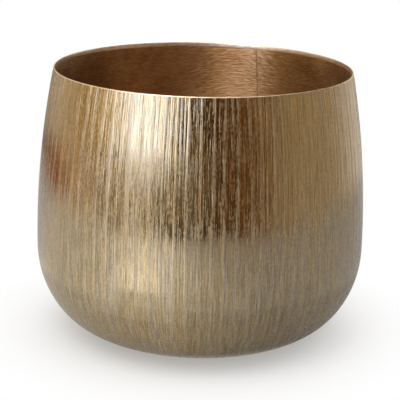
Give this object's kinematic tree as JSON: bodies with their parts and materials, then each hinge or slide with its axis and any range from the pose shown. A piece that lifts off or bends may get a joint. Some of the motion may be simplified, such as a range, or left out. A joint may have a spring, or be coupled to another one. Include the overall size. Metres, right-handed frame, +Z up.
{
  "type": "cachepot",
  "caption": "Round brushed-brass cachepot with a barrel-shaped wall, a soft turn into a flat base, a polished lip and felt pads underneath.",
  "frame": {"origin": "on the turning axis, at the level of the surface that the felt pads stand on", "axes": "+Z up along the turning axis, -Y towards the side that the picture shows, +X to its right"},
  "size_m": [0.2, 0.2, 0.162],
  "materials": {
    "brass_sheet": "brushed upright outside, warm turned finish inside",
    "brazing": "dressed",
    "felt": "matt felt"
  },
  "bodies": {
    "root": {"wall_band": "brass_sheet", "base_bowl": "brass_sheet", "wall_seam_weld": "brazing", "girth_weld": "brazing", "felt_pad_1": "felt", "felt_pad_2": "felt", "felt_pad_3": "felt", "felt_pad_4": "felt"}
  },
  "joints": []
}
